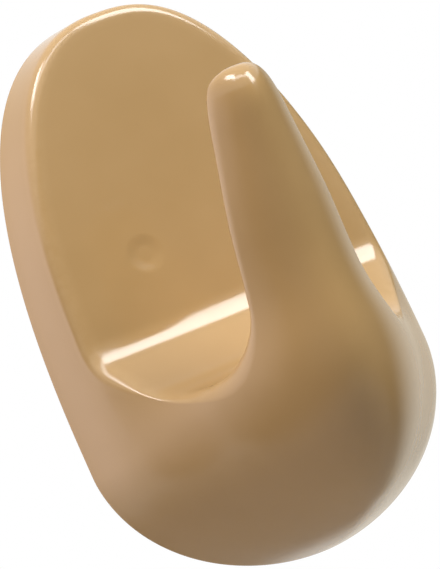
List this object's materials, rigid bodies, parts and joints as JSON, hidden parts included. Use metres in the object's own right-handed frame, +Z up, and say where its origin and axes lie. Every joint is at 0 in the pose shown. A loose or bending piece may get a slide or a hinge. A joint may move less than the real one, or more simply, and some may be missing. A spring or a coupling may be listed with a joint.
{
  "type": "adhesive wall hook",
  "caption": "Oval self-adhesive wall hook: a moulded plate turns through a round throat into an upright prong, on a foam pad with a peel-off split liner.",
  "frame": {"origin": "middle of the pad on the plane that lies against the wall, which is the outer face of the release liner", "axes": "+Z is up, +Y points into the wall and +X is to the right as seen from the front, so the prong stands out towards -Y"},
  "size_m": [0.0304, 0.024, 0.046],
  "materials": {
    "hook_plastic": "gloss",
    "adhesive": "gloss",
    "foam": "matte",
    "liner_paper": "satin"
  },
  "bodies": {
    "hook": {"hook_body": "hook_plastic", "hook_side_adhesive": "adhesive", "foam_core": "foam", "wall_side_adhesive": "adhesive"},
    "liner_upper": {"release_liner_upper": "liner_paper"},
    "liner_lower": {"release_liner_lower": "liner_paper"}
  },
  "joints": [
    {"name": "liner_upper_peel", "type": "hinge", "parent": "hook", "child": "liner_upper", "pos_m": [0, -0.0001, 0.021], "axis": [1, 0, 0], "range_deg": [0, 120]},
    {"name": "liner_lower_peel", "type": "hinge", "parent": "hook", "child": "liner_lower", "pos_m": [0, -0.0001, -0.021], "axis": [-1, 0, 0], "range_deg": [0, 120]}
  ]
}
